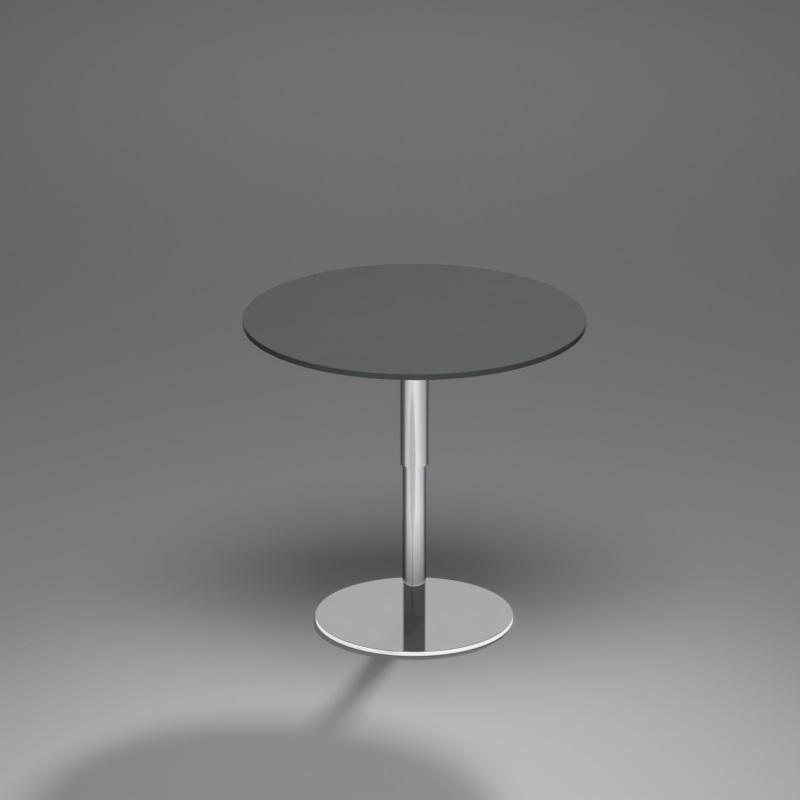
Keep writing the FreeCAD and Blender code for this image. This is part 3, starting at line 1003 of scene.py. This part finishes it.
@dataclass
class Foot(Assembly):
    """The base plate with its glides and screws.

    Attributes:
        sides: Sides of the plate.
        edge_rounding: Rounding of the plate's two edges.
        tube_recess: Depth that the lower tube is let in.
        glide_count: Number of glides.
        glide_sides: Sides of a glide.
        glide_radius: Radius of a glide.
        glide_spigot: Radius of a glide's spigot.
        glide_rounding: Rounding of a glide's edge.
        screw_count: Number of screws.
        screw: Sizes of a screw.
        screw_margin: Room round a screw.
    """

    sides: int = 320
    edge_rounding: float = 0.001
    tube_recess: float = 0.0015
    glide_count: int = 8
    glide_sides: int = 64
    glide_radius: float = 0.012
    glide_spigot: float = 0.004
    glide_rounding: float = 0.0006
    screw_count: int = 4
    screw: Screw = Screw(shank=0.004, rim=0.0075, flats=0.005)
    screw_margin: float = 0.0003

    def build(self) -> None:
        """Makes the plate, the glides and the screws, and dresses the plug."""
        self._plate()
        self._glides()
        self._screws()
        self.dress(ZINC_STEEL, "foot_plug")

    def _screw_ring(self) -> float:
        """Radius of the ring of screws, read from the frame."""
        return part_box("base_screws")[1].x - self.screw.rim

    def _plate(self) -> None:
        """Turns the plate and sinks its screw holes."""
        plate = Round.of("base_plate")
        tube = Round.of("lower_tube")
        corners = [
            Corner(0.0, plate.low),
            Corner(plate.radius, plate.low, self.edge_rounding),
            Corner(plate.radius, plate.high, self.edge_rounding),
            Corner(tube.radius, plate.high),
            Corner(tube.radius, plate.high - self.tube_recess),
            Corner(0.0, plate.high - self.tube_recess),
        ]
        blank = self.shop.turned("base_disc", corners, self.sides, BASE_POLISH)
        sizes = {
            "Count": self.screw_count,
            "Ring_Radius": self._screw_ring(),
            "Rim_Radius": self.screw.rim + self.screw_margin,
            "Shank_Radius": self.screw.shank + self.screw_margin,
            "Face_Height": plate.low,
        }
        mesh = grown("base_disc", blank, self.shop.sinking, BASE_POLISH, **sizes)
        self.show(mesh, Body.BASE, BASE_POLISH, "base_plate")

    def _glides(self) -> None:
        """Turns one glide and repeats it round the plate."""
        low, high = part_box("floor_glides")
        under = Round.of("base_plate").low
        radii = (self.glide_radius, self.glide_spigot)
        corners = stud((low.z, under, high.z), radii, self.glide_rounding)
        glide = self.shop.turned("glide_ring", corners, self.glide_sides, GLIDE_PLASTIC)
        first = math.pi / self.glide_count
        ring = (high.x - self.glide_radius) / math.cos(first)
        sizes = {"Count": self.glide_count, "Ring_Radius": ring, "First_Angle": first}
        mesh = grown("glide_ring", glide, self.shop.ringing, GLIDE_PLASTIC, **sizes)
        self.show(mesh, Body.BASE, GLIDE_PLASTIC, "floor_glides")

    def _screws(self) -> None:
        """Turns one countersunk screw and repeats it under the column."""
        low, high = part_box("base_screws")
        cone = self.screw.rim - self.screw.shank
        corners = [
            Corner(0.0, low.z),
            Corner(self.screw.rim, low.z),
            Corner(self.screw.shank, low.z + cone),
            Corner(self.screw.shank, high.z),
            Corner(0.0, high.z),
        ]
        screw = self.shop.screw("foot_screws", corners, self.screw.flats, cone)
        sizes = {"Count": self.screw_count, "Ring_Radius": self._screw_ring(), "First_Angle": 0.0}
        mesh = grown("foot_screws", screw, self.shop.ringing, ZINC_STEEL, **sizes)
        self.show(mesh, Body.BASE, ZINC_STEEL, "base_screws")


@dataclass
class Column(Assembly):
    """The two tubes with their guides.

    Attributes:
        sides: Sides of the tubes.
        wall: Wall of both tubes.
        edge_rounding: Rounding of the tubes' edges.
        slot_width: Width of the lever's slot.
        slot_sill: Depth of the slot from the head of the upper tube.
        bush_sides: Sides of the lower bush.
        bush_clearance: Room between the lower bush and the lower tube.
        bush_rounding: Rounding of the bush's edges.
    """

    sides: int = 192
    wall: float = 0.002
    edge_rounding: float = 0.0006
    slot_width: float = 0.017
    slot_sill: float = 0.015
    bush_sides: int = 128
    bush_clearance: float = 0.0001
    bush_rounding: float = 0.0008

    def build(self) -> None:
        """Makes the tubes and the lower bush, and dresses what is inside."""
        self.show(self._tube("inner_tube", "lower_tube"), Body.BASE, TUBE_CHROME, "lower_tube")
        self._outer_tube()
        self._bush()
        self.dress(BUSH_PLASTIC, "upper_bush")
        self.dress(TURNED_ALUMINIUM, "bearing_plug")
        self.dress(TURNED_BRASS, "swivel_washers")
        self.dress(SEAL_RUBBER, "end_buffer")

    def _tube(self, name: str, node: str) -> Mesh:
        """Turns a tube.

        Args:
            name: Name of the mesh.
            node: Name of the solid.

        Returns:
            The tube.
        """
        tube = Round.of(node)
        bore = tube.radius - self.wall
        corners = [
            Corner(bore, tube.low, self.edge_rounding),
            Corner(tube.radius, tube.low, self.edge_rounding),
            Corner(tube.radius, tube.high, self.edge_rounding),
            Corner(bore, tube.high, self.edge_rounding),
        ]
        return self.shop.turned(name, corners, self.sides, TUBE_CHROME)

    def _outer_tube(self) -> None:
        """Turns the upper tube and cuts the lever's slot into its head."""
        tube = Round.of("upper_tube")
        sizes = {
            "Slot_Width": self.slot_width,
            "Slot_Reach": tube.radius * 2,
            "Slot_Sill": tube.high - self.slot_sill,
            "Slot_Top": tube.high + self.slot_sill,
        }
        blank = self._tube("outer_tube", "upper_tube")
        mesh = grown("outer_tube", blank, self.shop.slotting, TUBE_CHROME, **sizes)
        self.show(mesh, Body.TOP, TUBE_CHROME, "upper_tube")

    def _bush(self) -> None:
        """Turns the bush in the foot of the upper tube."""
        bush = Round.of("lower_bush")
        bore = Round.of("lower_tube").radius + self.bush_clearance
        corners = [
            Corner(bore, bush.low, self.bush_rounding),
            Corner(bush.radius, bush.low),
            Corner(bush.radius, bush.high),
            Corner(bore, bush.high, self.bush_rounding),
        ]
        mesh = self.shop.turned("guide_sleeve", corners, self.bush_sides, BUSH_PLASTIC)
        self.show(mesh, Body.TOP, BUSH_PLASTIC, "lower_bush")


@dataclass
class GasSpring(Assembly):
    """The lockable gas spring inside the column, which keeps its solids."""

    def build(self) -> None:
        """Dresses the gas spring's solids."""
        self.dress(CYLINDER_PAINT, "gas_cylinder")
        self.dress(TURNED_BRASS, "rod_guide")
        self.dress(SEAL_RUBBER, "rod_seal", "piston_seal")
        self.dress(ZINC_STEEL, "ring_nuts", "rod_nut", "release_pin")
        self.dress(BUSH_PLASTIC, "centring_ring")
        self.dress(TUBE_CHROME, "piston_rod")
        self.dress(TURNED_ALUMINIUM, "piston")


@dataclass
class Head(Assembly):
    """The mounting plate under the top with its screws and the rod's seat.

    Attributes:
        sides: Sides of the plate.
        edge_rounding: Rounding of the plate's edges.
        groove: Depth that the upper tube is let in.
        screw_count: Number of screws into the top.
        screw: Sizes of a screw.
    """

    sides: int = 256
    edge_rounding: float = 0.001
    groove: float = 0.0015
    screw_count: int = 6
    screw: Screw = Screw(shank=0.003, rim=0.00525, flats=0.004, crown=0.0022)

    def build(self) -> None:
        """Makes the plate and the screws, and dresses the rod's seat."""
        self._plate()
        self._screws()
        self.dress(TURNED_ALUMINIUM, "rod_seat")
        self.dress(ZINC_STEEL, "seat_spacers", "seat_screws")

    def _plate(self) -> None:
        """Turns the plate with its groove for the upper tube."""
        plate = Round.of("mounting_plate")
        tube = Round.of("upper_tube")
        bore = tube.radius - Column.wall
        corners = [
            Corner(0.0, plate.low),
            Corner(bore, plate.low),
            Corner(bore, plate.low + self.groove),
            Corner(tube.radius, plate.low + self.groove),
            Corner(tube.radius, plate.low),
            Corner(plate.radius, plate.low, self.edge_rounding),
            Corner(plate.radius, plate.high, self.edge_rounding),
            Corner(0.0, plate.high),
        ]
        mesh = self.shop.turned("coated_plate", corners, self.sides, BLACK_COAT)
        self.show(mesh, Body.TOP, BLACK_COAT, "mounting_plate")

    def _screws(self) -> None:
        """Turns one round-headed screw and repeats it round the plate."""
        low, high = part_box("top_screws")
        under = Round.of("mounting_plate").low
        corners = self.screw.round_headed(low.z, under, high.z)
        depth = (under - low.z) / 2
        screw = self.shop.screw("plate_screws", corners, self.screw.flats, depth)
        first = math.pi / self.screw_count
        ring = high.y - self.screw.rim
        sizes = {"Count": self.screw_count, "Ring_Radius": ring, "First_Angle": first}
        mesh = grown("plate_screws", screw, self.shop.ringing, ZINC_STEEL, **sizes)
        self.show(mesh, Body.TOP, ZINC_STEEL, "top_screws")


@dataclass
class HandLever(Assembly):
    """The release lever with its grip and bearing.

    Attributes:
        bar_rounding: Rounding of the lever's edges.
        ear_rounding: Rounding of the brackets' edges.
        pin_rounding: Rounding of the pin's edges.
        clip_rounding: Rounding of the clip's edges.
        screw: Sizes of a bracket screw.
        screw_head: Height of its head.
        grip_sides: Sides of the grip.
        grip_rows: Rows of points along it.
        belly_from_end: Distance of the grip's widest place from its end.
        neck: Width and height of the grip's neck.
        belly: Width and height of its widest place.
        tip: Width and height of its end.
        squareness: How square the grip's sections are.
        end_radius: Rounding of the grip's ends.
        ribs: Number of grooves across the grip.
        rib_depth: Depth of a groove.
        rib_span: Where the grooves start and end, as shares of the grip's length.
    """

    bar_rounding: float = 0.0006
    ear_rounding: float = 0.0004
    pin_rounding: float = 0.0003
    clip_rounding: float = 0.00015
    screw: Screw = Screw(shank=0.002, rim=0.0035, flats=0.0025, crown=0.0014)
    screw_head: float = 0.0022
    grip_sides: int = 72
    grip_rows: int = 260
    belly_from_end: float = 0.026
    neck: Pair = (0.018, 0.011)
    belly: Pair = (0.023, 0.014)
    tip: Pair = (0.020, 0.012)
    squareness: float = 4.0
    end_radius: float = 0.002
    ribs: float = 9.0
    rib_depth: float = 0.0007
    rib_span: Pair = (0.34, 0.88)

    def build(self) -> None:
        """Makes the lever, its grip, the brackets, the pin and the screws."""
        copies = (
            ("bent_bar", "release_lever", self.bar_rounding, Body.LEVER),
            ("bearing_ears", "lever_brackets", self.ear_rounding, Body.TOP),
            ("headed_pin", "pivot_pin", self.pin_rounding, Body.TOP),
            ("spring_clip", "pin_clip", self.clip_rounding, Body.TOP),
        )
        for name, node, width, body in copies:
            self.show(softened(name, node, width), body, ZINC_STEEL, node)
        self._grip()
        self._screws()

    def _grip(self) -> None:
        """Grows the ribbed grip."""
        low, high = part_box("lever_grip")
        length = high.x - low.x
        sizes = {
            "Sides": self.grip_sides,
            "Rows": self.grip_rows,
            "Start_X": low.x,
            "Length": length,
            "Level": (low.z + high.z) / 2,
            "Belly_Share": 1 - self.belly_from_end / length,
            "Squareness": self.squareness,
            "End_Radius": self.end_radius,
            "Ribs": self.ribs,
            "Rib_Depth": self.rib_depth,
            "Rib_Start_Share": self.rib_span[0],
            "Rib_End_Share": self.rib_span[1],
        }
        for part, section in (("Neck", self.neck), ("Belly", self.belly), ("Tip", self.tip)):
            sizes[f"{part}_Width"], sizes[f"{part}_Height"] = section
        start = bpy.data.meshes.new("ribbed_grip.start")
        mesh = grown("ribbed_grip", start, self.shop.gripping, GRIP_PLASTIC, **sizes)
        self.show(mesh, Body.LEVER, GRIP_PLASTIC, "lever_grip")

    def _screws(self) -> None:
        """Turns one bracket screw and repeats it at the brackets' four holes."""
        low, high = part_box("bracket_screws")
        corners = self.screw.round_headed(low.z, low.z + self.screw_head, high.z)
        depth = self.screw_head / 2
        screw = self.shop.screw("ear_screws", corners, self.screw.flats, depth)
        sizes = {
            "Length": high.x - low.x - 2 * self.screw.rim,
            "Width": high.y - low.y - 2 * self.screw.rim,
            "Middle_X": (low.x + high.x) / 2,
        }
        mesh = grown("ear_screws", screw, self.shop.cornering, ZINC_STEEL, **sizes)
        self.show(mesh, Body.TOP, ZINC_STEEL, "bracket_screws")


@dataclass(frozen=True)
class Lamp:
    """A soft square lamp.

    Attributes:
        name: Its name.
        place: Where it hangs.
        target: Where it points.
        side: Length of its side.
        power: Its power in watts.
        spread: How widely its light spreads, in degrees.
        mirrored: Whether glossy surfaces show it.
    """

    name: str
    place: Triple
    target: Triple
    side: float
    power: float
    spread: float
    mirrored: bool = False

    def hang(self) -> None:
        """Hangs the lamp, unseen by the camera."""
        light = bpy.data.lights.new(self.name, "AREA")
        light.shape = "SQUARE"
        light.size = self.side
        light.energy = self.power
        light.spread = math.radians(self.spread)
        lamp = linked(self.name, light)
        lamp.location = self.place
        aim = Vector(self.target) - Vector(self.place)
        lamp.rotation_euler = aim.to_track_quat("-Z", "Y").to_euler()
        lamp.visible_camera = False
        lamp.visible_glossy = self.mirrored


# Floor cards are painted reflection: only polished metal shows them, and they put painted dark and pale
# bands, painted shadow and painted glow into its reflections
@dataclass(frozen=True)
class Card:
    """A card on the floor that only polished metal shows, as a fan round the column.

    Attributes:
        name: Its name.
        start: Where it starts round the column, in degrees from +X.
        end: Where it ends.
        rings: Distances from the column's axis, from the inner edge out, each with its share
        of the grey, where a share under 1 is painted shadow.
        shade: Its grey in the middle, a painted dark or pale band in the metal's reflections.
        end_shade: Its grey at both ends.
        glow: How bright it is by itself, painted light, since the card is no lamp.
    """

    name: str
    start: float
    end: float
    rings: tuple[Pair, ...]
    shade: float
    end_shade: float
    glow: float = 0.0

    def lay(self) -> None:
        """Lays the card, without a shadow and unseen by the camera and by rough surfaces."""
        mesh = self._fan()
        mesh.materials.append(self._paint())
        card = linked(self.name, mesh)
        card.visible_camera = card.visible_diffuse = card.visible_shadow = False

    def _fan(self) -> Mesh:
        """Makes the card's mesh, which carries its grey as an attribute.

        Returns:
            The mesh.
        """
        steps = math.ceil((self.end - self.start) / CARD_STEP)
        corners = []
        greys = []
        for step in range(steps + 1):
            turn = math.radians(self.start + (self.end - self.start) * step / steps)
            way = Vector((math.cos(turn), math.sin(turn), 0.0))
            # The grey runs from the ends to the middle, a painted dark or pale band in the reflections
            middle = math.sin(math.pi * step / steps)
            grey = self.end_shade + (self.shade - self.end_shade) * middle
            corners += [way * distance for distance, _ in self.rings]
            greys += [grey * share for _, share in self.rings]
        row = len(self.rings)
        firsts = [step * row + ring for step in range(steps) for ring in range(row - 1)]
        faces = [(first, first + 1, first + row + 1, first + row) for first in firsts]
        mesh = bpy.data.meshes.new(self.name)
        mesh.from_pydata(corners, [], faces)
        mesh.attributes.new("grey", "FLOAT", "POINT").data.foreach_set("value", greys)
        return mesh

    def _paint(self) -> Material:
        """Makes a matt material that reads the grey, and whose glow is painted light.

        Returns:
            The material.
        """
        material, wiring, shader = new_material(self.name)
        tone = wiring.node("ShaderNodeAttribute", attribute_name="grey").outputs["Fac"]
        surface = {
            "Base Color": tone,
            "Roughness": 1.0,
            "Emission Color": tone,
            "Emission Strength": self.glow,
        }
        wiring.give(shader, surface)
        return material


@dataclass
class Studio:
    """Floor, light and camera.

    Attributes:
        floor_half: Half the side of the floor.
        floor_drop: How far the floor lies under the glides, so that the two don't share a plane.
        floor_clear: Surfaces nearer than this to the floor are lit through it.
        floor_colour: Colour of the floor.
        sky_front: Brightness of the sky on the camera's side.
        sky_back: Brightness of the sky behind the table.
        sky_top: Brightness of the sky overhead.
        sky_share: Share of the sky's light that reaches rough surfaces, so that the table casts
            its shadow.
        sky_turn: Where, from front to back, the sky goes from one brightness to the other.
        sky_rise: How high the overhead sky starts, and where it is fully reached.
        lamps: The lamps.
        cards: The floor cards that paint the reflections in the polished metal, with painted
        dark bands, a painted glow, painted shadow near the column and a painted rim highlight.
        camera_place: Where the camera stands.
        camera_pitch: How far it looks down, in degrees.
        camera_lens: Focal length in millimetres on a sensor 36 mm wide.
        camera_reach: How far it sees.
    """

    floor_half: float = 40.0
    floor_drop: float = 0.0002
    floor_clear: float = 0.008
    floor_colour: Triple = (0.75, 0.75, 0.75)
    sky_front: float = 0.06
    sky_back: float = 0.47
    sky_top: float = 0.19
    sky_share: float = 0.50
    sky_turn: Pair = (0.3, 0.9)
    sky_rise: Pair = (0.45, 0.8)
    lamps: tuple[Lamp, ...] = (
        Lamp("Overhead soft box", (0.15, -0.8, 3.4), (0.15, -0.8, 0.0), 2.2, 20.5, 140.0, True),
        Lamp("Back right soft box", (1.03, 3.35, 2.93), (-0.5, -2.9, 0.0), 0.40, 11.0, 36.0),
        Lamp("Backdrop soft box", (0.0, 4.2, 3.5), (0.0, 4.2, 0.0), 2.0, 4.0, 90.0),
        Lamp("Edge fill", (0.0, -4.5, 0.70), (0.0, 0.0, 0.657), 0.8, 1.0, 16.0),
    )
    cards: tuple[Card, ...] = (
        # Dark cards: painted dark reflections along the tubes' edges, where the floor is in shade
        Card("dark_card_left", 106.0, 192.0, DARK_RINGS, 0.22, 0.75),
        Card("dark_card_right", 8.0, 74.0, DARK_RINGS, 0.34, 0.75),
        # Pale card: painted bright reflection in the tubes' middles, with a painted glow
        Card("white_card", 192.0, 368.0, PALE_RINGS, 0.98, 0.90, glow=0.18),
        # Glowing ring round the plate's foot, a painted highlight on the plate's rim
        Card("rim_highlight_ring", 0.0, 360.0, RIM_RINGS, 0.95, 0.95, glow=0.80),
    )
    camera_place: Triple = (-0.0296, -9.738, 3.9851)
    camera_pitch: float = 19.774
    camera_lens: float = 227.52
    camera_reach: float = 200.0

    def build(self) -> None:
        """Lays the floor, sets the light and places the camera."""
        self._floor()
        self._sky()
        for lamp in self.lamps:
            lamp.hang()
        for card in self.cards:
            card.lay()
        self._camera()
        bpy.context.scene.view_settings.view_transform = "Standard"

    def _floor(self) -> None:
        """Lays a plain pale floor."""
        half = self.floor_half
        signs = ((-1, -1), (1, -1), (1, 1), (-1, 1))
        corners = [(x * half, y * half, -self.floor_drop) for x, y in signs]
        mesh = bpy.data.meshes.new("floor")
        mesh.from_pydata(corners, [], [(0, 1, 2, 3)])
        mesh.materials.append(self._floor_paint())
        floor = linked("floor", mesh)

    def _floor_paint(self) -> Material:
        """Makes the floor's material, which can be looked through from below.

        It has no gloss, so that it doesn't mirror the cards that lie just over it.

        Returns:
            The material.
        """
        material, wiring, shader = new_material("Pale floor")
        colour = (*self.floor_colour, 1.0)
        wiring.give(shader, {"Base Color": colour, "Roughness": 1.0, "Specular IOR Level": 0.0})
        behind = wiring.number("ShaderNodeNewGeometry", "Backfacing")
        length = wiring.number("ShaderNodeLightPath", "Ray Length")
        through = behind.most(wiring.sum("LESS_THAN", length, self.floor_clear))
        clear = wiring.node("ShaderNodeBsdfTransparent").outputs["BSDF"]
        choice = {"Fac": through, 1: shader.outputs["BSDF"], 2: clear}
        either = wiring.node("ShaderNodeMixShader", choice).outputs["Shader"]
        wiring.give(material.node_tree.nodes["Material Output"], {"Surface": either})
        return material

    def _sky(self) -> None:
        """Makes a soft grey sky that is brighter behind the table."""
        world = bpy.data.worlds.new("Studio sky")
        world.use_nodes = True
        wiring = Wiring(world.node_tree)
        way = wiring.node("ShaderNodeTexCoord").outputs["Generated"]
        parts = wiring.node("ShaderNodeSeparateXYZ", {"Vector": way}).outputs
        levels = (self.sky_front, self.sky_back)
        low = wiring.spread(parts["Y"], self.sky_turn, levels, "SMOOTHSTEP")
        overhead = wiring.spread(parts["Z"], self.sky_rise, (0.0, 1.0), "SMOOTHSTEP")
        whole = wiring.node("ShaderNodeMix", {"Factor": overhead, "A": low, "B": self.sky_top})
        seen = wiring.number("ShaderNodeLightPath", "Is Camera Ray")
        mirrored = wiring.number("ShaderNodeLightPath", "Is Glossy Ray")
        strength = wiring.spread(seen.most(mirrored), (0.0, 1.0), (self.sky_share, 1.0))
        light = {"Color": whole.outputs["Result"], "Strength": strength}
        wiring.give(world.node_tree.nodes["Background"], light)
        bpy.context.scene.world = world

    def _camera(self) -> None:
        """Places the camera at the photograph's viewpoint."""
        data = bpy.data.cameras.new("Camera")
        data.lens = self.camera_lens
        data.clip_end = self.camera_reach
        camera = linked("Camera", data)
        camera.location = self.camera_place
        camera.rotation_euler = (math.radians(90 - self.camera_pitch), 0.0, 0.0)
        bpy.context.scene.camera = camera


def write_sizes() -> None:
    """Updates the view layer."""
    bpy.context.view_layer.update()


def main() -> None:
    """Builds the sub-assemblies and the studio."""
    logging.basicConfig(level=logging.INFO, format="%(name)s: %(message)s")
    shop = Shop()
    for assembly in (TableTop, Foot, Column, GasSpring, Head, HandLever):
        LOG.info("Sub-assembly %s", assembly.__name__)
        assembly(shop).build()
    Studio().build()
    write_sizes()


if __name__ == "__main__":
    main()
